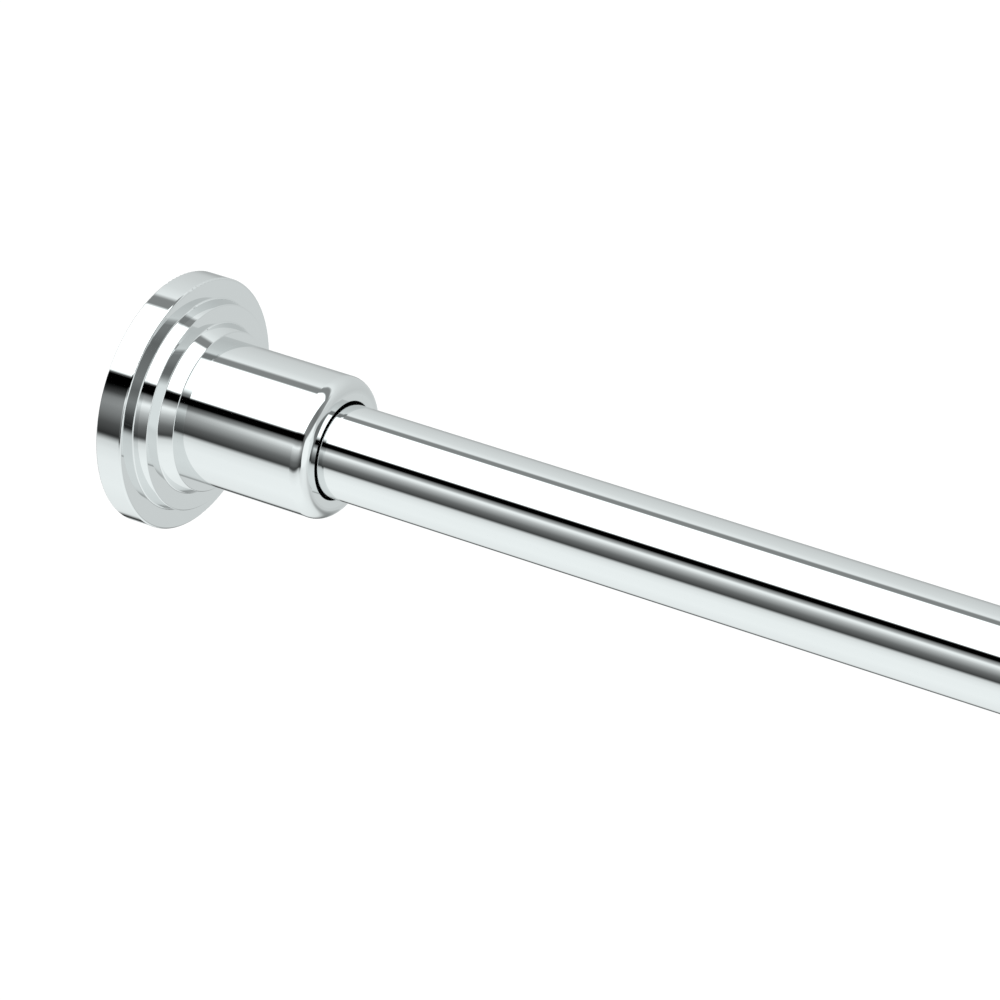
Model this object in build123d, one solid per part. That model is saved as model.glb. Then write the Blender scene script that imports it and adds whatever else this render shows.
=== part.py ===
from build123d import *
import os

# Straight wall-to-wall rod: two chromed tubes that telescope, each held in a socket on a wall plate
# and dressed with a stepped cover that slides along the tube.
# Millimetres. +X runs along the rod from the left wall to the right wall, +Z is up, and the origin is
# the centre of the left wall plate's back face.

# Length of the whole rod
wall_to_wall = 1524.0          # clear width between the walls with the tubes pushed together
telescope_travel = 305.0       # how far the tubes pull apart

# Tubes and the sleeve that joins them
tube_radius = 12.7
tube_wall = 1.0
glide_space = 0.8              # radial room between the tube's bore and the sleeve
sleeve_wall = 1.0
sleeve_overlap = 90.0          # sleeve left inside the left tube when the rod is pulled out
sleeve_hold = 140.0            # sleeve held inside the right tube
joint_gap = 0.3                # gap between the collar and the right tube when closed
collar_flange = 2.0
collar_spigot = 25.0
glide_head = 12.0
glide_spigot = 10.0
glide_wall = 2.0
bush_set_back = 3.0            # bush starts this far inside the right tube
bush_end_margin = 7.0          # sleeve left past the bush's far end
rivet_radius = 1.6
rivet_head_radius = 2.6
rivet_tail_radius = 2.4
rivet_tail_height = 1.0
rivet_tail_gap = 0.05
rivet_sink = 0.05              # how far the edge of a rivet's head lies below the tube's outside
rivet_from_bush_end = 30.0     # one rivet this far from each end of the bush
rivet_cut_depth = 1.0          # how far the countersink's cutter reaches past the tube
sliding_clearance = 0.05       # radial, for pieces that slide or turn in one another

# Wall plate and its screw holes
plate_thickness = 3.0
plate_edge_round = 0.6
plate_cover_gap = 1.2          # radial gap between the plate's edge and the cover
wall_screw_count = 3
wall_screw_hole_radius = 2.6
wall_screw_head_radius = 4.0
wall_screw_head_gap = 0.5

# Socket that takes the tube's end
socket_wall = 3.25
socket_floor = 6.0
socket_depth = 28.0
socket_lip_chamfer = 0.6
base_lip = 2.0                 # how far the socket's foot stands out past its wall
base_height = 3.0
tube_end_gap = 0.2

# Countersunk screw from the plate into the socket
socket_screw_radius = 2.5
socket_screw_head_radius = 5.0
socket_screw_land = 0.5        # plate left in front of the countersink
socket_screw_tip_gap = 1.0
socket_screw_hex_radius = 1.7
socket_screw_hex_depth = 1.6

# Grub screws, one in the socket and one in the cover's neck
grub_radius = 2.0
grub_hex_radius = 1.0
grub_hex_depth = 1.3
grub_tip_gap = 0.1
rod_screw_sink = 0.1           # below the socket's outside
cover_screw_sink = 0.3         # below the neck's outside
rod_screw_from_end = 18.0      # from the socket's open end
cover_screw_from_end = 9.0

# Cover: a stepped flange and a neck in one shell
cover_wall = 2.0
socket_gap = 1.3               # radial gap between the socket and the neck's bore
rim_height = 7.8
middle_height = 3.8
inner_height = 4.05
rim_step = 5.55                # radial width of the step between the rim and the middle disc's foot
middle_step = 5.45             # from the middle disc's foot to the inner disc's foot
inner_step = 3.9               # from the inner disc's foot to the neck
middle_taper = 0.65            # how much smaller the middle disc's radius is at its face than its foot
inner_taper = 1.45
rim_round = 0.55
rim_back_round = 0.35          # on the rim's edge at the wall
middle_round = 0.3
inner_round = 0.3
corner_round = 0.4             # in the hollow corners at the feet of the two smaller discs
mouth_round = 3.9
mouth_edge_round = 0.15
mouth_gap = 0.7                # radial gap between the tube and the cover's lip
mouth_lip = 3.0

# Guide ring behind the cover's lip, with a nose that fills the mouth round the tube
ring_length = 5.0
ring_clearance = 0.1           # radial, on the tube
ring_to_socket = 9.35          # from the ring to the socket's end
nose_set_back = 0.1            # how far the nose's face lies inside the mouth

# Places along the rod from a wall
socket_foot = plate_thickness
socket_seat = socket_foot + socket_floor
socket_end = socket_seat + socket_depth
rod_screw_place = socket_end - rod_screw_from_end
cover_screw_place = socket_end - cover_screw_from_end
ring_back = socket_end + ring_to_socket
ring_front = ring_back + ring_length
mouth_face = ring_front + mouth_lip
nose_face = mouth_face - nose_set_back
rim_face = rim_height
middle_face = rim_face + middle_height
inner_face = middle_face + inner_height

# Radii that follow from the tube outwards
tube_bore = tube_radius - tube_wall
sleeve_radius = tube_bore - glide_space
sleeve_bore = sleeve_radius - sleeve_wall
socket_bore = tube_radius + sliding_clearance
socket_radius = socket_bore + socket_wall
base_radius = socket_radius + base_lip
neck_bore = socket_radius + socket_gap
neck_radius = neck_bore + cover_wall
inner_radius = neck_radius + inner_step
middle_radius = inner_radius + middle_step
rim_radius = middle_radius + rim_step
inner_face_radius = inner_radius - inner_taper
middle_face_radius = middle_radius - middle_taper
inner_bore = inner_radius - cover_wall
middle_bore = middle_radius - cover_wall
rim_bore = rim_radius - cover_wall
plate_radius = rim_bore - plate_cover_gap
wall_screw_circle = base_radius + wall_screw_head_gap + wall_screw_head_radius
mouth_radius = tube_radius + mouth_gap

# Places of the joint between the tubes
joint = wall_to_wall / 2
collar_face = joint - joint_gap
left_tube_end = collar_face - collar_flange
sleeve_left_end = left_tube_end - telescope_travel - sleeve_overlap
sleeve_right_end = joint + sleeve_hold
bush_start = joint + bush_set_back
bush_end = sleeve_right_end - bush_end_margin
rivet_places = (bush_start + rivet_from_bush_end, bush_end - rivet_from_bush_end)


def turned(points, rounds=()):
    """Solid turned about the rod's axis from an outline of (place along the rod, radius) points.

    rounds holds (point, rounding radius) pairs for the corners that are rounded.
    """
    outline = make_face(Polyline(*points, close=True))
    for corner, rounding in rounds:
        nearest = min(outline.vertices(), key=lambda vertex: abs(vertex.center() - Vector(*corner)))
        outline = fillet(nearest, rounding)
    return revolve(outline, Axis.X, 360)


def pipe(start, end, outside, inside):
    """Plain pipe along the rod."""
    return turned([(start, inside), (end, inside), (end, outside), (start, outside)])


def radial_hole(place, radius, depth_from, depth_to):
    """Cutter for a hole through the underside, between two distances from the rod's axis."""
    height = depth_to - depth_from
    return Pos(place, 0, -(depth_from + depth_to) / 2) * Cylinder(radius, height)


def grub_screw(place, tip, head):
    """Grub screw in the underside, from its tip to its outer end, with a hexagon socket."""
    body = radial_hole(place, grub_radius, tip, head)
    hexagon = Pos(place, 0, -head) * RegularPolygon(grub_hex_radius, 6)
    return body - extrude(hexagon, grub_hex_depth)


def wall_plate():
    """Round plate with a ring of wall screw holes and a countersunk hole in the middle."""
    plate = turned(
        [(0, 0), (plate_thickness, 0), (plate_thickness, plate_radius), (0, plate_radius)],
        [((plate_thickness, plate_radius), plate_edge_round)],
    )
    for number in range(wall_screw_count):
        turn = Rot(X=360 * number / wall_screw_count)
        hole = Rot(Y=90) * Cylinder(wall_screw_hole_radius, 2 * plate_thickness)
        plate -= turn * Pos(0, 0, wall_screw_circle) * hole
    return plate - countersunk_shape(sliding_clearance, plate_thickness)


def countersunk_shape(clearance, end):
    """Outline of the socket screw, grown by a clearance, from the plate's back to a given end."""
    cone_end = plate_thickness - socket_screw_land
    return turned([
        (0, 0),
        (end, 0),
        (end, socket_screw_radius + clearance),
        (cone_end, socket_screw_radius + clearance),
        (0, socket_screw_head_radius + clearance),
    ])


def socket_screw():
    """Countersunk screw that holds the socket on the plate."""
    screw = countersunk_shape(0, socket_seat - socket_screw_tip_gap)
    hexagon = Plane.YZ * RegularPolygon(socket_screw_hex_radius, 6)
    return screw - extrude(hexagon, socket_screw_hex_depth)


def socket():
    """Cup with a foot on the plate, a tapped floor and a tapped hole for the rod's grub screw."""
    cup = turned(
        [
            (socket_foot, 0),
            (socket_seat, 0),
            (socket_seat, socket_bore),
            (socket_end, socket_bore),
            (socket_end, socket_radius - socket_lip_chamfer),
            (socket_end - socket_lip_chamfer, socket_radius),
            (socket_foot + base_height, socket_radius),
            (socket_foot + base_height, base_radius),
            (socket_foot, base_radius),
        ],
    )
    cup -= pipe(socket_foot, socket_seat, socket_screw_radius + sliding_clearance, 0)
    return cup - radial_hole(rod_screw_place, grub_radius + sliding_clearance, sleeve_bore, neck_radius)


def rod_screw():
    """Grub screw that clamps the tube in its socket."""
    return grub_screw(rod_screw_place, tube_radius + grub_tip_gap, socket_radius - rod_screw_sink)


def cover():
    """Stepped flange and neck in one shell, open at the wall, with a rounded mouth for the tube."""
    rim_back = rim_face - cover_wall
    middle_back = middle_face - cover_wall
    inner_back = inner_face - cover_wall
    shell = turned(
        [
            (0, rim_bore),
            (0, rim_radius),
            (rim_face, rim_radius),
            (rim_face, middle_radius),
            (middle_face, middle_face_radius),
            (middle_face, inner_radius),
            (inner_face, inner_face_radius),
            (inner_face, neck_radius),
            (mouth_face, neck_radius),
            (mouth_face, mouth_radius),
            (ring_front, mouth_radius),
            (ring_front, neck_bore),
            (inner_back, neck_bore),
            (inner_back, inner_bore),
            (middle_back, inner_bore),
            (middle_back, middle_bore),
            (rim_back, middle_bore),
            (rim_back, rim_bore),
        ],
        [
            ((0, rim_radius), rim_back_round),
            ((rim_face, rim_radius), rim_round),
            ((rim_face, middle_radius), corner_round),
            ((middle_face, middle_face_radius), middle_round),
            ((middle_face, inner_radius), corner_round),
            ((inner_face, inner_face_radius), inner_round),
            ((mouth_face, neck_radius), mouth_round),
            ((mouth_face, mouth_radius), mouth_edge_round),
        ],
    )
    hole_radius = grub_radius + sliding_clearance
    return shell - radial_hole(cover_screw_place, hole_radius, socket_radius, rim_radius)


def cover_screw():
    """Grub screw under the neck that presses on the socket and holds the cover at the wall."""
    return grub_screw(cover_screw_place, socket_radius + grub_tip_gap, neck_radius - cover_screw_sink)


def guide_ring():
    """Ring pressed into the neck behind the lip, with a nose in the mouth, to keep the cover off the tube."""
    bore = tube_radius + ring_clearance
    nose_radius = mouth_radius - sliding_clearance
    ring_radius = neck_bore - sliding_clearance
    return turned([
        (ring_back, bore),
        (nose_face, bore),
        (nose_face, nose_radius),
        (ring_front, nose_radius),
        (ring_front, ring_radius),
        (ring_back, ring_radius),
    ])


def left_tube():
    """Tube from the left socket to the collar."""
    return pipe(socket_seat + tube_end_gap, left_tube_end, tube_radius, tube_bore)


def right_tube():
    """Tube from the joint to the right socket, countersunk for the rivets."""
    tube = pipe(joint, wall_to_wall - socket_seat - tube_end_gap, tube_radius, tube_bore)
    head_radius = rivet_head_radius + sliding_clearance
    for place in rivet_places:
        recess = radial_hole(place, head_radius, rivet_top(), tube_radius + rivet_cut_depth)
        tube -= rivet_shape(place, sliding_clearance) + recess
    return tube


def rivet_top():
    """Distance from the axis to a rivet's flat top, sunk until its edge is just below the tube's outside."""
    return (tube_radius ** 2 - (rivet_head_radius + sliding_clearance) ** 2) ** 0.5 - rivet_sink


def rivet_tail_seat():
    """Distance from the axis to a rivet's tail, inside the sleeve's bore and clear of its curve."""
    return (sleeve_bore ** 2 - rivet_tail_radius ** 2) ** 0.5 - rivet_tail_gap


def rivet_shape(place, clearance):
    """Countersunk head and shank of one rivet, grown by a clearance, through the underside."""
    top = rivet_top()
    seat = rivet_tail_seat()
    outline = make_face(Polyline(
        (0, -seat),
        (rivet_radius + clearance, -seat),
        (rivet_radius + clearance, -tube_bore),
        (rivet_head_radius + clearance, -top),
        (0, -top),
        close=True,
    ))
    return Pos(place, 0, 0) * revolve(Plane.XZ * outline, Axis.Z, 360)


def sleeve_rivets():
    """Flush rivets through the right tube, the bush and the sleeve, with their formed tails."""
    rivets = []
    seat = rivet_tail_seat()
    for place in rivet_places:
        tail = radial_hole(place, rivet_tail_radius, seat - rivet_tail_height, seat)
        rivets.append(rivet_shape(place, 0) + tail)
    return Compound(children=rivets)


def connector_sleeve():
    """Inner tube that joins the two tubes."""
    sleeve = pipe(sleeve_left_end, sleeve_right_end, sleeve_radius, sleeve_bore)
    hole_radius = rivet_radius + sliding_clearance
    for place in rivet_places:
        sleeve -= radial_hole(place, hole_radius, rivet_tail_seat(), tube_radius)
    return sleeve


def sleeve_bush():
    """Bush between the sleeve and the right tube."""
    inside = sleeve_radius + sliding_clearance
    bush = pipe(bush_start, bush_end, tube_bore - sliding_clearance, inside)
    hole_radius = rivet_radius + sliding_clearance
    for place in rivet_places:
        bush -= radial_hole(place, hole_radius, sleeve_bore, tube_radius)
    return bush


def tube_collar():
    """Collar in the left tube's mouth that the sleeve runs through."""
    return turned([
        (left_tube_end - collar_spigot, sleeve_radius + sliding_clearance),
        (collar_face, sleeve_radius + sliding_clearance),
        (collar_face, tube_radius),
        (left_tube_end, tube_radius),
        (left_tube_end, tube_bore - sliding_clearance),
        (left_tube_end - collar_spigot, tube_bore - sliding_clearance),
    ])


def sleeve_glide():
    """Plug on the sleeve's inner end that runs in the left tube's bore."""
    spigot = sleeve_bore - sliding_clearance
    return turned([
        (sleeve_left_end - glide_head, spigot - glide_wall),
        (sleeve_left_end + glide_spigot, spigot - glide_wall),
        (sleeve_left_end + glide_spigot, spigot),
        (sleeve_left_end, spigot),
        (sleeve_left_end, tube_bore - sliding_clearance),
        (sleeve_left_end - glide_head, tube_bore - sliding_clearance),
    ])


def build():
    """Every piece by node name, in place."""
    end_pieces = {
        "wall_plate": wall_plate(),
        "socket": socket(),
        "socket_screw": socket_screw(),
        "rod_screw": rod_screw(),
        "cover": cover(),
        "cover_screw": cover_screw(),
        "guide_ring": guide_ring(),
    }
    pieces = {}
    for name, piece in end_pieces.items():
        pieces["left_" + name] = piece
        pieces["right_" + name] = Pos(wall_to_wall, 0, 0) * Rot(Z=180) * piece
    pieces["left_tube"] = left_tube()
    pieces["right_tube"] = right_tube()
    pieces["connector_sleeve"] = connector_sleeve()
    pieces["sleeve_glide"] = sleeve_glide()
    pieces["tube_collar"] = tube_collar()
    pieces["sleeve_bush"] = sleeve_bush()
    pieces["sleeve_rivets"] = sleeve_rivets()
    return pieces


os.makedirs("parts", exist_ok=True)
for node, solid in build().items():
    export_step(solid, os.path.join("parts", node + ".step"))
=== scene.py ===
import math

import bpy
from bpy.props import FloatProperty, FloatVectorProperty, IntProperty, PointerProperty
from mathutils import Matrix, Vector


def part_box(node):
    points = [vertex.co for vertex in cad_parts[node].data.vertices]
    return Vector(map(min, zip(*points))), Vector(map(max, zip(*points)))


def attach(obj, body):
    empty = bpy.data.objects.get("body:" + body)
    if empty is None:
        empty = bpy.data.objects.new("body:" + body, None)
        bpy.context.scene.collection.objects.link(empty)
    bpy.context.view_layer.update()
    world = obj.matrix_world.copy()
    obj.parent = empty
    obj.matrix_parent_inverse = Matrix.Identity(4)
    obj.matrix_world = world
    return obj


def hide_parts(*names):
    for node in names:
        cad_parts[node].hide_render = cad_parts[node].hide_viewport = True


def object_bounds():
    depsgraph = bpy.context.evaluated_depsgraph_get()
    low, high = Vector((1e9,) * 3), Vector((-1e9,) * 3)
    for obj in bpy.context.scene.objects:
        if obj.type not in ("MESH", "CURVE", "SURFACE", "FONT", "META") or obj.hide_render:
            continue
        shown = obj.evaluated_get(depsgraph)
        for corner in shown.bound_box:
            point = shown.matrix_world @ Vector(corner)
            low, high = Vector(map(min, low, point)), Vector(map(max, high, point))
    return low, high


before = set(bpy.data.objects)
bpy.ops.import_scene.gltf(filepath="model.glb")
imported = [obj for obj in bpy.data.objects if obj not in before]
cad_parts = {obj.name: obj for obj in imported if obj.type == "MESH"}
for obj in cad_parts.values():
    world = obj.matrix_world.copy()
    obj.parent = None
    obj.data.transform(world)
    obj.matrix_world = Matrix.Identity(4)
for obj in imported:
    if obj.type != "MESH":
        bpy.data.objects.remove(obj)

bl_info = {
    "name": "Wall-to-wall curtain rod",
    "version": (1, 0, 0),
    "blender": (4, 5, 0),
    "location": "View3D > Sidebar > Curtain Rod",
    "description": "Finishes for a telescoping chrome curtain rod and the studio it is shown in",
    "category": "Object",
}

# Metres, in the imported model's frame: +X along the rod, +Z up.
CAD_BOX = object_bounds()
SENSOR_WIDTH = 36.0      # millimetres

COVERS = ("left_cover", "right_cover")
GUIDE_RINGS = ("left_guide_ring", "right_guide_ring")
NYLON_PIECES = ("tube_collar", "sleeve_bush", "sleeve_glide")
WALL_PLATES = ("left_wall_plate", "right_wall_plate")
SOCKETS = ("left_socket", "right_socket")
GRUB_SCREWS = ("left_rod_screw", "right_rod_screw", "left_cover_screw", "right_cover_screw")
SOCKET_SCREWS = ("left_socket_screw", "right_socket_screw")

# What polished metal mirrors, by the angle round the rod in degrees: 0 is level behind the rod, 90 is
# straight up, 180 is level in front and 270 is straight down. Each stop is an angle and its light.
TURN_START = -45.0
TURN_SPAN = 360.0
ROOM_STOPS = (
    (-45.0, 0.70),    # foot of the back wall
    (-34.0, 0.775),
    (-25.0, 0.755),
    (-15.0, 0.735),   # back wall, lighter towards its top
    (0.0, 0.735),
    (10.0, 0.74),
    (40.0, 0.868),
    (53.6, 1.02),
    (58.0, 0.288),    # grey ceiling
    (69.0, 0.283),
    (88.0, 0.20),
    (139.1, 0.28),
    (152.0, 0.19),    # dim room in front
    (157.5, 0.215),
    (168.0, 0.297),
    (175.0, 0.235),
    (185.0, 0.094),
    (196.4, 0.028),
    (202.0, 0.80),    # pale floor
    (210.0, 0.968),
    (222.0, 1.05),
    (250.0, 1.065),
    (285.0, 0.965),
    (295.5, 0.87),
    (305.0, 0.74),
)
STRIP_STOPS = (
    (150.4, 0.0),     # strip light in front
    (154.0, 0.31),
    (157.0, 0.42),
    (160.0, 0.76),
    (161.5, 0.89),
    (163.0, 0.84),
    (166.0, 0.62),
    (170.0, 0.365),
    (175.0, 0.205),
    (182.0, 0.09),
    (196.0, 0.03),
)
BOX_STOPS = (
    (68.1, 0.0),      # overhead softbox
    (70.9, 1.65),
    (138.5, 1.62),
    (140.8, 0.0),
)

# Share of the light that shades take, by the same angles.
FLAG_STOPS = (
    (138.5, 0.0),     # black flag in front of the softbox
    (140.8, 1.0),
    (152.5, 1.0),
    (155.0, 0.91),
    (157.5, 0.77),
    (162.0, 0.10),
    (165.0, 0.0),
)
GAP_STOPS = (
    (294.5, 0.0),     # dark gap between the floor and the wall
    (299.0, 0.48),
    (303.0, 0.945),
    (307.0, 0.955),
    (311.0, 0.60),
    (315.0, 0.24),
    (320.0, 0.0),
)
WALL_STOPS = (
    (-34.0, 0.0),     # shade on the lower wall behind the rod's left end
    (-25.0, 0.26),
    (-20.0, 0.375),
    (-15.0, 0.36),
    (-8.0, 0.21),
    (0.0, 0.065),
    (8.0, 0.0),
)
END_STOPS = (
    (46.0, 0.0),      # lower top of the wall towards the right wall
    (50.0, 0.45),
    (53.6, 0.68),
    (55.5, 0.55),
    (58.0, 0.0),
    (196.0, 0.0),     # far edge of the floor, towards the right wall
    (197.5, 0.92),
    (201.0, 0.95),
    (204.5, 0.72),
    (207.0, 0.40),
    (210.0, 0.18),
    (213.0, 0.10),
    (243.0, 0.05),
    (285.0, 0.0),
)

# How much of the dark gap shows, by how far a direction leans along the rod: -1 is straight to the left
# wall and 1 straight to the right wall.
LEAN_START = -1.0
LEAN_SPAN = 2.0
GAP_SHARES = (
    (-0.46, 1.0),
    (-0.30, 0.80),
    (-0.10, 0.68),
    (0.30, 0.56),
    (0.55, 0.40),
    (0.72, 0.0),
)

# Where lights and shades begin or end along the rod, each as two leans to blend between.
STRIP_BEGINS = (-0.528, -0.488)
STRIP_ENDS = (0.4, 0.8)
FLAG_ENDS = (0.55, 0.75)
WALL_SHADE_FADES = (-0.40, -0.30)
WALL_SHADE_REST = 0.15   # share of the wall's shade that is left past its fade
END_SHADE_BEGINS = (0.55, 0.75)
BOX_SLANT = 0.80         # how far the softbox's far edge leans for each step up
BOX_EDGE = (-0.05, 0.05)
LEFT_WALL_ENDS = (-0.72, -0.58)
LEFT_WALL_LIGHT = 0.6    # share of the light that is left towards the left wall
SCREEN_BEGINS = (0.78, 0.83)

# Screen at the right wall: its top and bottom edge, and its front and back half with their lights.
SCREEN_EDGE = (0.25, 0.37)
SCREEN_MIDDLE = (0.05, 0.17)
SCREEN_LIGHTS = (1.14, 0.76)

STUDIO_TINT = (0.955, 1.0, 1.0)
FLOOR_PAINT = (0.9, 0.9, 0.9, 1.0)
FLOOR_LIFT = 0.22        # light that the camera sees on the floor besides what falls on it

# Middle range of a noise, over which a finish goes from its smoothest to its roughest.
NOISE_LOW = 0.3
NOISE_HIGH = 0.7


class RodFinishes(bpy.types.PropertyGroup):
    """Colours of the rod's metals and plastic."""

    chrome: FloatVectorProperty(
        name="Chrome",
        description="Colour of the polished plating on the tubes and the covers",
        default=(0.772, 0.787, 0.788), min=0.0, max=1.0, subtype='COLOR',
    )
    sleeve: FloatVectorProperty(
        name="Sleeve",
        description="Colour of the drawn tube that joins the two ends",
        default=(0.70, 0.715, 0.72), min=0.0, max=1.0, subtype='COLOR',
    )
    # Near black beyond real nylon: partly the guide rings' own black, partly painted shade for the dark
    # gap round the tube in the covers' mouths.
    ring: FloatVectorProperty(
        name="Guide rings",
        description="Colour of the matt rings in the covers' mouths",
        default=(0.001, 0.001, 0.001), min=0.0, max=1.0, subtype='COLOR',
    )
    nylon: FloatVectorProperty(
        name="Nylon",
        description="Colour of the collar, the bush and the glide",
        default=(0.012, 0.012, 0.013), min=0.0, max=1.0, subtype='COLOR',
    )
    zinc: FloatVectorProperty(
        name="Zinc plate",
        description="Colour of the plated wall plates",
        default=(0.56, 0.58, 0.60), min=0.0, max=1.0, subtype='COLOR',
    )
    casting: FloatVectorProperty(
        name="Zinc casting",
        description="Colour of the cast sockets",
        default=(0.52, 0.53, 0.54), min=0.0, max=1.0, subtype='COLOR',
    )
    screws: FloatVectorProperty(
        name="Screws",
        description="Colour of the grub screws and the socket screws",
        default=(0.30, 0.30, 0.31), min=0.0, max=1.0, subtype='COLOR',
    )
    rivets: FloatVectorProperty(
        name="Rivets",
        description="Colour of the rivets through the right tube",
        default=(0.60, 0.61, 0.62), min=0.0, max=1.0, subtype='COLOR',
    )
    thread_pitch: FloatProperty(
        name="Thread pitch",
        description="Distance between the screws' threads",
        default=0.0007, min=0.0001, unit='LENGTH',
    )


class RodTube(bpy.types.PropertyGroup):
    """Shape of the left tube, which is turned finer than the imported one."""

    wall: FloatProperty(
        name="Wall",
        description="Thickness of the tube's wall",
        default=0.001, min=0.0002, unit='LENGTH',
    )
    sides: IntProperty(
        name="Sides",
        description="Number of facets round the tube",
        default=192, min=24,
    )


class RodStage(bpy.types.PropertyGroup):
    """Camera, floor and light."""

    azimuth: FloatProperty(
        name="Camera azimuth",
        description="Angle of the camera round the vertical, from square in front of the rod",
        default=math.radians(32.535), subtype='ANGLE',
    )
    elevation: FloatProperty(
        name="Camera elevation",
        description="Angle of the camera above the horizon",
        default=math.radians(29.938), subtype='ANGLE',
    )
    distance: FloatProperty(
        name="Camera distance",
        description="From the camera to the point it looks at",
        default=1.5608, min=0.1, unit='LENGTH',
    )
    aim: FloatVectorProperty(
        name="Camera aim",
        description="Point that the camera looks at",
        default=(0.1023, 0.0003, 0.0), subtype='XYZ', unit='LENGTH',
    )
    lens: FloatProperty(
        name="Lens",
        description="Focal length of the camera, for a sensor 36 mm wide",
        default=219.84, min=1.0, unit='CAMERA',
    )
    floor_depth: FloatProperty(
        name="Floor depth",
        description="How far the floor lies below the rod's axis",
        default=0.45, min=0.05, unit='LENGTH',
    )
    floor_size: FloatProperty(
        name="Floor size",
        description="Length of the floor's sides",
        default=120.0, min=1.0, unit='LENGTH',
    )
    soft_light: FloatProperty(
        name="Soft light",
        description="Light from all round on surfaces that don't mirror",
        default=0.55, min=0.0,
    )
    sun_light: FloatProperty(
        name="Overhead light",
        description="Strength of the overhead lamp that gives the floor its shadow",
        default=1.2, min=0.0,
    )
    sun_width: FloatProperty(
        name="Overhead width",
        description="Angle that the overhead lamp fills, which softens its shadow",
        default=math.radians(14.0), subtype='ANGLE',
    )


class RodSettings(bpy.types.PropertyGroup):
    """Everything that the curtain rod's operators read."""

    finishes: PointerProperty(type=RodFinishes)
    tube: PointerProperty(type=RodTube)
    stage: PointerProperty(type=RodStage)


class NodeSheet:
    """Adds nodes to a tree, with inputs given as values or as other nodes' outputs."""

    def __init__(self, tree):
        self.tree = tree
        tree.nodes.clear()

    def add(self, kind, inputs=None, **settings):
        """New node of a kind, with its settings and inputs."""
        node = self.tree.nodes.new(kind)
        for name, value in settings.items():
            setattr(node, name, value)
        for name, value in (inputs or {}).items():
            self.feed(node.inputs[name], value)
        return node

    def feed(self, socket, value):
        """Links an output to a socket, or sets the socket's value."""
        if isinstance(value, bpy.types.NodeSocket):
            self.tree.links.new(value, socket)
        else:
            socket.default_value = value

    def math(self, operation, *values):
        """Output of a sum on some values."""
        return self.add("ShaderNodeMath", dict(enumerate(values)), operation=operation).outputs[0]

    def smooth_range(self, value, start, end, low=0.0, high=1.0):
        """Output that goes smoothly from low at start to high at end."""
        inputs = {"Value": value, "From Min": start, "From Max": end, "To Min": low, "To Max": high}
        return self.add("ShaderNodeMapRange", inputs, interpolation_type='SMOOTHSTEP').outputs["Result"]

    def fade(self, value, start, end, rest=0.0):
        """Output that goes smoothly from 1 at start to a rest at end."""
        return self.smooth_range(value, start, end, 1.0, rest)

    def blend(self, share, first, second):
        """Output that goes from the first value to the second with a share from 0 to 1."""
        inputs = {"Factor": share, "A": first, "B": second}
        return self.add("ShaderNodeMix", inputs, data_type='FLOAT').outputs["Result"]

    def blend_colours(self, share, first, second):
        """Output that goes from the first colour to the second with a share from 0 to 1."""
        mixed = self.add("ShaderNodeMix", {"Factor": share}, data_type='RGBA')
        sockets = [socket for socket in mixed.inputs if socket.type == 'RGBA']
        for socket, colour in zip(sockets, (first, second)):
            self.feed(socket, (*colour, 1.0))
        return next(socket for socket in mixed.outputs if socket.type == 'RGBA')

    def dim(self, light, shade, share):
        """Output of a light that a shade takes a share from."""
        kept = self.math('SUBTRACT', 1.0, self.math('MULTIPLY', shade, share))
        return self.math('MULTIPLY', light, kept)

    def ramp(self, place, stops, start, span):
        """Value by place, from (place, value) stops, where places run from a start over a span."""
        strongest = max(value for stop, value in stops)
        node = self.add("ShaderNodeValToRGB", {"Fac": place})
        elements = node.color_ramp.elements
        while len(elements) < len(stops):
            elements.new(1.0)
        for element, (stop, value) in zip(elements, stops):
            level = value / strongest
            element.position = (stop - start) / span
            element.color = (level, level, level, 1.0)
        return self.math('MULTIPLY', node.outputs["Color"], strongest)


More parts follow.
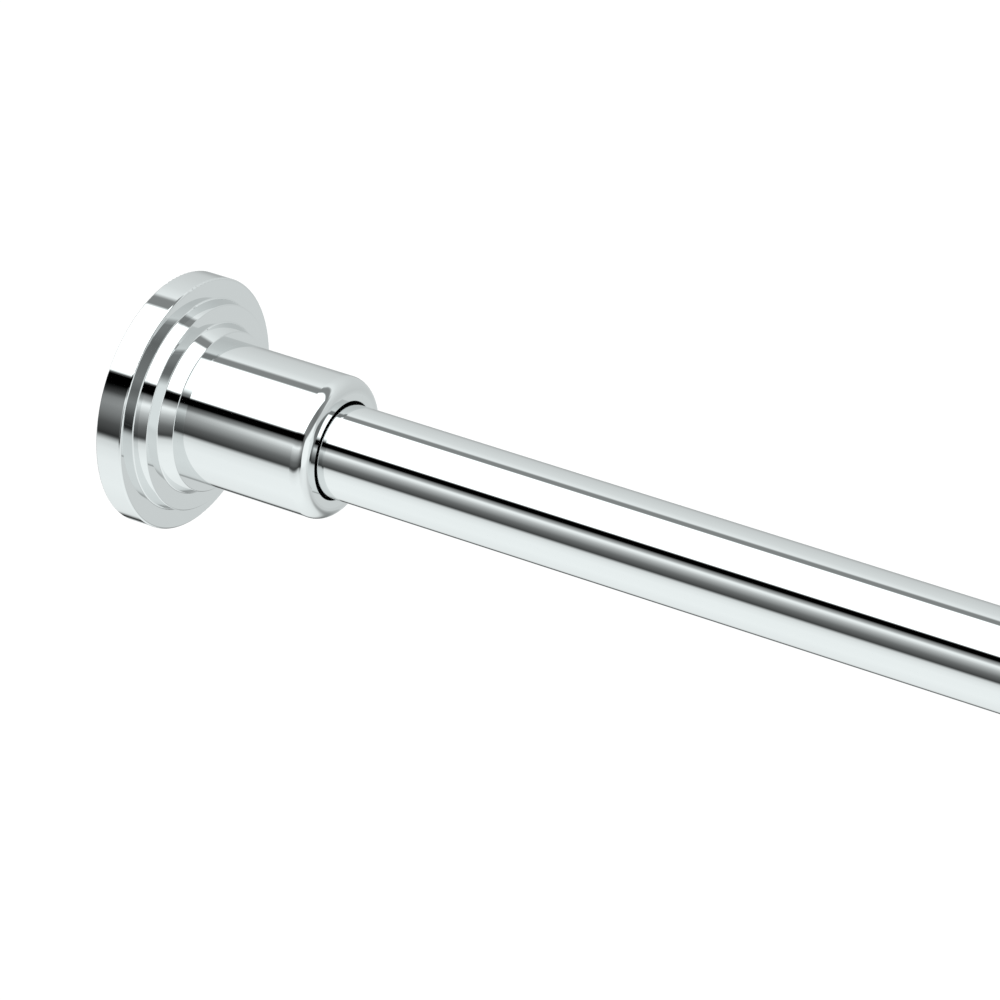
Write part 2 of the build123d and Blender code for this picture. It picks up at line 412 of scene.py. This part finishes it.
def studio_light(sheet):
    """Light that polished metal mirrors, by direction."""
    direction = sheet.add("ShaderNodeTexCoord").outputs["Generated"]
    along, back, up = sheet.add("ShaderNodeSeparateXYZ", {"Vector": direction}).outputs
    angle = sheet.math('SUBTRACT', sheet.math('ARCTAN2', up, back), math.radians(TURN_START))
    turn = sheet.math('FRACT', sheet.math('DIVIDE', angle, math.tau))
    lean = sheet.math('DIVIDE', sheet.math('SUBTRACT', along, LEAN_START), LEAN_SPAN)

    def by_turn(stops):
        return sheet.ramp(turn, stops, TURN_START, TURN_SPAN)

    flag_share = sheet.fade(along, *FLAG_ENDS)
    room = sheet.dim(by_turn(ROOM_STOPS), by_turn(FLAG_STOPS), flag_share)
    strip_share = sheet.math(
        'MULTIPLY',
        sheet.smooth_range(along, *STRIP_BEGINS),
        sheet.fade(along, *STRIP_ENDS),
    )
    light = sheet.math('MULTIPLY_ADD', by_turn(STRIP_STOPS), strip_share, room)
    wall_share = sheet.fade(along, *WALL_SHADE_FADES, WALL_SHADE_REST)
    light = sheet.dim(light, by_turn(WALL_STOPS), wall_share)
    end_share = sheet.smooth_range(along, *END_SHADE_BEGINS)
    light = sheet.dim(light, by_turn(END_STOPS), end_share)
    past_box = sheet.math('MULTIPLY_ADD', up, -BOX_SLANT, along)
    box_share = sheet.fade(past_box, *BOX_EDGE)
    light = sheet.math('MULTIPLY_ADD', by_turn(BOX_STOPS), box_share, light)
    gap_share = sheet.ramp(lean, GAP_SHARES, LEAN_START, LEAN_SPAN)
    light = sheet.dim(light, by_turn(GAP_STOPS), gap_share)
    left_share = sheet.smooth_range(along, *LEFT_WALL_ENDS, LEFT_WALL_LIGHT, 1.0)
    light = sheet.math('MULTIPLY', light, left_share)
    screen_share = sheet.math(
        'MULTIPLY',
        sheet.smooth_range(along, *SCREEN_BEGINS),
        sheet.fade(sheet.math('ABSOLUTE', up), *SCREEN_EDGE),
    )
    screen = sheet.smooth_range(back, *SCREEN_MIDDLE, *SCREEN_LIGHTS)
    return sheet.blend(screen_share, light, screen)


def studio_world(stage):
    """World that is white to the camera, a studio to polished metal and soft light to the rest."""
    world = bpy.data.worlds.new("studio")
    world.use_nodes = True
    sheet = NodeSheet(world.node_tree)
    path = sheet.add("ShaderNodeLightPath").outputs
    mirrored = sheet.math('MAXIMUM', path["Is Glossy Ray"], path["Is Transmission Ray"])
    light = sheet.blend(mirrored, stage.soft_light, studio_light(sheet))
    light = sheet.blend(path["Is Camera Ray"], light, 1.0)
    colour = sheet.blend_colours(mirrored, (1.0, 1.0, 1.0), STUDIO_TINT)
    background = sheet.add("ShaderNodeBackground", {"Strength": light, "Color": colour})
    sheet.add("ShaderNodeOutputWorld", {"Surface": background.outputs[0]})
    bpy.context.scene.world = world


def floor_finish():
    """Pale floor that keeps shadows, is lifted to white for the camera and is clear from below."""
    material, sheet = new_finish("pale_floor")
    path = sheet.add("ShaderNodeLightPath").outputs
    paint = sheet.add("ShaderNodeBsdfDiffuse", {"Color": FLOOR_PAINT})
    glow = sheet.math('MULTIPLY', path["Is Camera Ray"], FLOOR_LIFT)
    lift = sheet.add("ShaderNodeEmission", {"Strength": glow})
    lit = sheet.add("ShaderNodeAddShader", {0: paint.outputs[0], 1: lift.outputs[0]})
    clear = sheet.add("ShaderNodeBsdfTransparent")
    under = sheet.add("ShaderNodeNewGeometry").outputs["Backfacing"]
    both = sheet.add("ShaderNodeMixShader", {0: under, 1: lit.outputs[0], 2: clear.outputs[0]})
    sheet.add("ShaderNodeOutputMaterial", {"Surface": both.outputs[0]})
    return material


def add_floor(stage):
    """Floor below the rod, centred under its middle."""
    half = stage.floor_size / 2
    middle = (CAD_BOX[0][0] + CAD_BOX[1][0]) / 2
    sides = ((-half, -half), (half, -half), (half, half), (-half, half))
    corners = [(middle + x, y, -stage.floor_depth) for x, y in sides]
    mesh = bpy.data.meshes.new("floor")
    mesh.from_pydata(corners, [], [(0, 1, 2, 3)])
    mesh.materials.append(floor_finish())
    floor = bpy.data.objects.new("floor", mesh)
    bpy.context.scene.collection.objects.link(floor)
    floor.visible_glossy = False


def add_overhead_lamp(stage):
    """Soft lamp straight above, which the metal doesn't mirror."""
    lamp = bpy.data.lights.new("overhead", 'SUN')
    lamp.energy = stage.sun_light
    lamp.angle = stage.sun_width
    overhead = bpy.data.objects.new("overhead", lamp)
    overhead.visible_glossy = False
    bpy.context.scene.collection.objects.link(overhead)


def add_camera(stage):
    """Camera at the photograph's angle."""
    lens = bpy.data.cameras.new("camera")
    lens.sensor_fit = 'HORIZONTAL'
    lens.sensor_width = SENSOR_WIDTH
    lens.lens = stage.lens
    camera = bpy.data.objects.new("camera", lens)
    level = math.cos(stage.elevation)
    towards = Vector((
        math.sin(stage.azimuth) * level,
        -math.cos(stage.azimuth) * level,
        math.sin(stage.elevation),
    ))
    camera.location = Vector(stage.aim) + towards * stage.distance
    camera.rotation_euler = towards.to_track_quat('Z', 'Y').to_euler()
    bpy.context.scene.collection.objects.link(camera)
    bpy.context.scene.camera = camera


def new_finish(name):
    """New material with an empty node sheet."""
    material = bpy.data.materials.new(name)
    material.use_nodes = True
    return material, NodeSheet(material.node_tree)


def place_on_piece(sheet):
    """Output with the place on the piece, in metres in the rod's frame."""
    return sheet.add("ShaderNodeTexCoord").outputs["Object"]


def cloud(sheet, scale, detail, stretch=(1.0, 1.0, 1.0)):
    """Noise over the piece, in blobs of about one over scale metres."""
    placed = sheet.add("ShaderNodeMapping", {"Vector": place_on_piece(sheet), "Scale": stretch})
    inputs = {"Vector": placed.outputs["Vector"], "Scale": scale, "Detail": detail}
    return sheet.add("ShaderNodeTexNoise", inputs).outputs["Fac"]


def tint(sheet, share, colour, spread):
    """Colour that varies by a spread either side of its own lightness."""
    dark = [value * (1.0 - spread) for value in colour]
    light = [min(1.0, value * (1.0 + spread)) for value in colour]
    return sheet.blend_colours(share, dark, light)


def uneven(sheet, noise, smoothest, roughest):
    """Roughness that follows a noise."""
    return sheet.smooth_range(noise, NOISE_LOW, NOISE_HIGH, smoothest, roughest)


def relief(sheet, height, depth, strength):
    """Normal for a surface with a fine relief of a depth in metres."""
    inputs = {"Height": height, "Distance": depth, "Strength": strength}
    return sheet.add("ShaderNodeBump", inputs).outputs["Normal"]


def coat(sheet, **inputs):
    """Ends a finish with its shader."""
    named = {name.replace("_", " "): value for name, value in inputs.items()}
    shader = sheet.add("ShaderNodeBsdfPrincipled", named)
    sheet.add("ShaderNodeOutputMaterial", {"Surface": shader.outputs[0]})


def chrome_finish(name, colour):
    """Polished chrome plating: a faint haze in its colour and gloss."""
    material, sheet = new_finish(name)
    haze = cloud(sheet, scale=24.0, detail=3.0)
    grain = cloud(sheet, scale=420.0, detail=2.0)
    coat(
        sheet,
        Base_Color=tint(sheet, haze, colour, spread=0.012),
        Metallic=1.0,
        Roughness=uneven(sheet, grain, smoothest=0.012, roughest=0.028),
    )
    return material


def sleeve_finish(colour):
    """Drawn tube with fine lines along its length, from sliding in the other tube."""
    material, sheet = new_finish("sleeve_chrome")
    lines = cloud(sheet, scale=900.0, detail=3.0, stretch=(0.02, 1.0, 1.0))
    haze = cloud(sheet, scale=30.0, detail=3.0)
    coat(
        sheet,
        Base_Color=tint(sheet, haze, colour, spread=0.03),
        Metallic=1.0,
        Roughness=uneven(sheet, lines, smoothest=0.05, roughest=0.16),
        Normal=relief(sheet, lines, depth=0.00001, strength=0.12),
    )
    return material


def nylon_finish(name, colour, gloss):
    """Moulded nylon with a fine grain."""
    material, sheet = new_finish(name)
    grain = cloud(sheet, scale=2600.0, detail=2.0)
    shade = cloud(sheet, scale=160.0, detail=3.0)
    coat(
        sheet,
        Base_Color=tint(sheet, shade, colour, spread=0.3),
        Roughness=uneven(sheet, shade, smoothest=0.50, roughest=0.62),
        Specular_IOR_Level=gloss,
        Normal=relief(sheet, grain, depth=0.00005, strength=0.25),
    )
    return material


def plate_finish(colour):
    """Zinc plate on pressed steel: pale blooms and a fine brushed grain."""
    material, sheet = new_finish("zinc_plate")
    blooms = cloud(sheet, scale=140.0, detail=4.0)
    brushed = cloud(sheet, scale=700.0, detail=2.0, stretch=(1.0, 0.04, 1.0))
    coat(
        sheet,
        Base_Color=tint(sheet, blooms, colour, spread=0.12),
        Metallic=1.0,
        Roughness=uneven(sheet, blooms, smoothest=0.28, roughest=0.44),
        Normal=relief(sheet, brushed, depth=0.00003, strength=0.2),
    )
    return material


def casting_finish(colour):
    """Zinc casting with the mould's fine pebbled skin."""
    material, sheet = new_finish("cast_zinc")
    skin = cloud(sheet, scale=1100.0, detail=4.0)
    patches = cloud(sheet, scale=90.0, detail=3.0)
    coat(
        sheet,
        Base_Color=tint(sheet, patches, colour, spread=0.10),
        Metallic=1.0,
        Roughness=uneven(sheet, skin, smoothest=0.36, roughest=0.52),
        Normal=relief(sheet, skin, depth=0.00006, strength=0.3),
    )
    return material


def screw_finish(name, axis, pitch, colour):
    """Dark steel with a thread cut along one axis of the rod's frame."""
    material, sheet = new_finish(name)
    oil = cloud(sheet, scale=420.0, detail=3.0)
    places = sheet.add("ShaderNodeSeparateXYZ", {"Vector": place_on_piece(sheet)}).outputs
    thread = sheet.math('SINE', sheet.math('MULTIPLY', places[axis], math.tau / pitch))
    coat(
        sheet,
        Base_Color=tint(sheet, oil, colour, spread=0.15),
        Metallic=1.0,
        Roughness=uneven(sheet, oil, smoothest=0.26, roughest=0.40),
        Normal=relief(sheet, thread, depth=0.0002, strength=0.5),
    )
    return material


def rivet_finish(colour):
    """Bright steel with the marks of the setting tool."""
    material, sheet = new_finish("rivet_steel")
    marks = cloud(sheet, scale=900.0, detail=4.0)
    coat(
        sheet,
        Base_Color=tint(sheet, marks, colour, spread=0.08),
        Metallic=1.0,
        Roughness=uneven(sheet, marks, smoothest=0.18, roughest=0.34),
        Normal=relief(sheet, marks, depth=0.00003, strength=0.2),
    )
    return material


def dress(nodes, material):
    """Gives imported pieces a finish."""
    for name in nodes:
        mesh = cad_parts[name].data
        mesh.materials.clear()
        mesh.materials.append(material)


def pipe_mesh(name, start, end, outside, inside, sides):
    """Pipe along the rod, shaded as true cylinders and flat ends."""
    turns = [math.tau * side / sides for side in range(sides)]
    rims = [(math.cos(turn), math.sin(turn)) for turn in turns]
    outline = ((start, outside), (end, outside), (end, inside), (start, inside))
    facings = ((0.0, 1.0), (1.0, 0.0), (0.0, -1.0), (-1.0, 0.0))
    points = [(place, radius * y, radius * z) for place, radius in outline for y, z in rims]
    faces = []
    normals = []
    for strip, (forward, outward) in enumerate(facings):
        first = strip * sides
        second = (strip + 1) % len(outline) * sides
        for side in range(sides):
            after = (side + 1) % sides
            faces.append((first + side, first + after, second + after, second + side))
            for corner in (side, after, after, side):
                y, z = rims[corner]
                normals.append((forward, outward * y, outward * z))
    mesh = bpy.data.meshes.new(name)
    mesh.from_pydata(points, [], faces)
    mesh.shade_smooth()
    mesh.normals_split_custom_set(normals)
    return mesh


def add_left_tube(tube, material):
    """Left tube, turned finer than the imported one, in its place."""
    low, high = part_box("left_tube")
    mesh = pipe_mesh("fine_left_tube", low.x, high.x, high.y, high.y - tube.wall, tube.sides)
    mesh.materials.append(material)
    fine = bpy.data.objects.new("fine_left_tube", mesh)
    bpy.context.scene.collection.objects.link(fine)
    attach(fine, "left_end")
    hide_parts("left_tube")


class ROD_OT_covers(bpy.types.Operator):
    """Polish the two covers."""

    bl_idname = "curtain_rod.covers"
    bl_label = "Polish covers"

    def execute(self, context):
        finishes = context.scene.curtain_rod.finishes
        dress(COVERS, chrome_finish("cover_chrome", finishes.chrome))
        return {'FINISHED'}


class ROD_OT_tubes(bpy.types.Operator):
    """Turn the left tube and polish both tubes."""

    bl_idname = "curtain_rod.tubes"
    bl_label = "Turn and polish tubes"

    def execute(self, context):
        rod = context.scene.curtain_rod
        material = chrome_finish("tube_chrome", rod.finishes.chrome)
        dress(("right_tube",), material)
        add_left_tube(rod.tube, material)
        return {'FINISHED'}


class ROD_OT_sleeve(bpy.types.Operator):
    """Finish the sleeve that joins the tubes."""

    bl_idname = "curtain_rod.sleeve"
    bl_label = "Finish sleeve"

    def execute(self, context):
        finishes = context.scene.curtain_rod.finishes
        dress(("connector_sleeve",), sleeve_finish(finishes.sleeve))
        return {'FINISHED'}


class ROD_OT_nylon(bpy.types.Operator):
    """Mould the guide rings, the collar, the bush and the glide in nylon, the rings near black and
    without gloss as painted shade for the gap in the covers' mouths.
    """

    bl_idname = "curtain_rod.nylon"
    bl_label = "Mould nylon pieces"

    def execute(self, context):
        finishes = context.scene.curtain_rod.finishes
        # Guide rings without gloss and near black: their own black nylon plus painted shade for the gap
        # between the mouth and the tube.
        dress(GUIDE_RINGS, nylon_finish("ring_nylon_and_gap_shade", finishes.ring, gloss=0.0))
        dress(NYLON_PIECES, nylon_finish("black_nylon", finishes.nylon, gloss=0.35))
        return {'FINISHED'}


class ROD_OT_wall_plates(bpy.types.Operator):
    """Plate the two wall plates with zinc."""

    bl_idname = "curtain_rod.wall_plates"
    bl_label = "Plate wall plates"

    def execute(self, context):
        finishes = context.scene.curtain_rod.finishes
        dress(WALL_PLATES, plate_finish(finishes.zinc))
        return {'FINISHED'}


class ROD_OT_sockets(bpy.types.Operator):
    """Cast the two sockets in zinc."""

    bl_idname = "curtain_rod.sockets"
    bl_label = "Cast sockets"

    def execute(self, context):
        finishes = context.scene.curtain_rod.finishes
        dress(SOCKETS, casting_finish(finishes.casting))
        return {'FINISHED'}


class ROD_OT_screws(bpy.types.Operator):
    """Thread the grub screws and the socket screws."""

    bl_idname = "curtain_rod.screws"
    bl_label = "Thread screws"

    def execute(self, context):
        finishes = context.scene.curtain_rod.finishes
        grub = screw_finish("grub_screw_steel", "Z", finishes.thread_pitch, finishes.screws)
        dress(GRUB_SCREWS, grub)
        long_screw = screw_finish("socket_screw_steel", "X", finishes.thread_pitch, finishes.screws)
        dress(SOCKET_SCREWS, long_screw)
        return {'FINISHED'}


class ROD_OT_rivets(bpy.types.Operator):
    """Set the rivets through the right tube."""

    bl_idname = "curtain_rod.rivets"
    bl_label = "Set rivets"

    def execute(self, context):
        finishes = context.scene.curtain_rod.finishes
        dress(("sleeve_rivets",), rivet_finish(finishes.rivets))
        return {'FINISHED'}


class ROD_OT_stage(bpy.types.Operator):
    """Set the floor, the light and the camera."""

    bl_idname = "curtain_rod.stage"
    bl_label = "Set the stage"

    def execute(self, context):
        stage = context.scene.curtain_rod.stage
        studio_world(stage)
        add_floor(stage)
        add_overhead_lamp(stage)
        add_camera(stage)
        context.scene.view_settings.view_transform = 'Standard'
        return {'FINISHED'}


class ROD_PT_panel(bpy.types.Panel):
    """The curtain rod's steps, in order."""

    bl_label = "Curtain Rod"
    bl_idname = "ROD_PT_panel"
    bl_space_type = 'VIEW_3D'
    bl_region_type = 'UI'
    bl_category = "Curtain Rod"

    def draw(self, context):
        for step in STEPS:
            self.layout.operator(step.bl_idname)


STEPS = (
    ROD_OT_covers,
    ROD_OT_tubes,
    ROD_OT_sleeve,
    ROD_OT_nylon,
    ROD_OT_wall_plates,
    ROD_OT_sockets,
    ROD_OT_screws,
    ROD_OT_rivets,
    ROD_OT_stage,
)
CLASSES = (RodFinishes, RodTube, RodStage, RodSettings) + STEPS + (ROD_PT_panel,)


def register():
    for item in CLASSES:
        bpy.utils.register_class(item)
    bpy.types.Scene.curtain_rod = PointerProperty(type=RodSettings)


def unregister():
    del bpy.types.Scene.curtain_rod
    for item in reversed(CLASSES):
        bpy.utils.unregister_class(item)


def main():
    register()
    bpy.ops.curtain_rod.covers()
    bpy.ops.curtain_rod.tubes()
    bpy.ops.curtain_rod.sleeve()
    bpy.ops.curtain_rod.nylon()
    bpy.ops.curtain_rod.wall_plates()
    bpy.ops.curtain_rod.sockets()
    bpy.ops.curtain_rod.screws()
    bpy.ops.curtain_rod.rivets()
    bpy.ops.curtain_rod.stage()


if __name__ == "__main__":
    main()
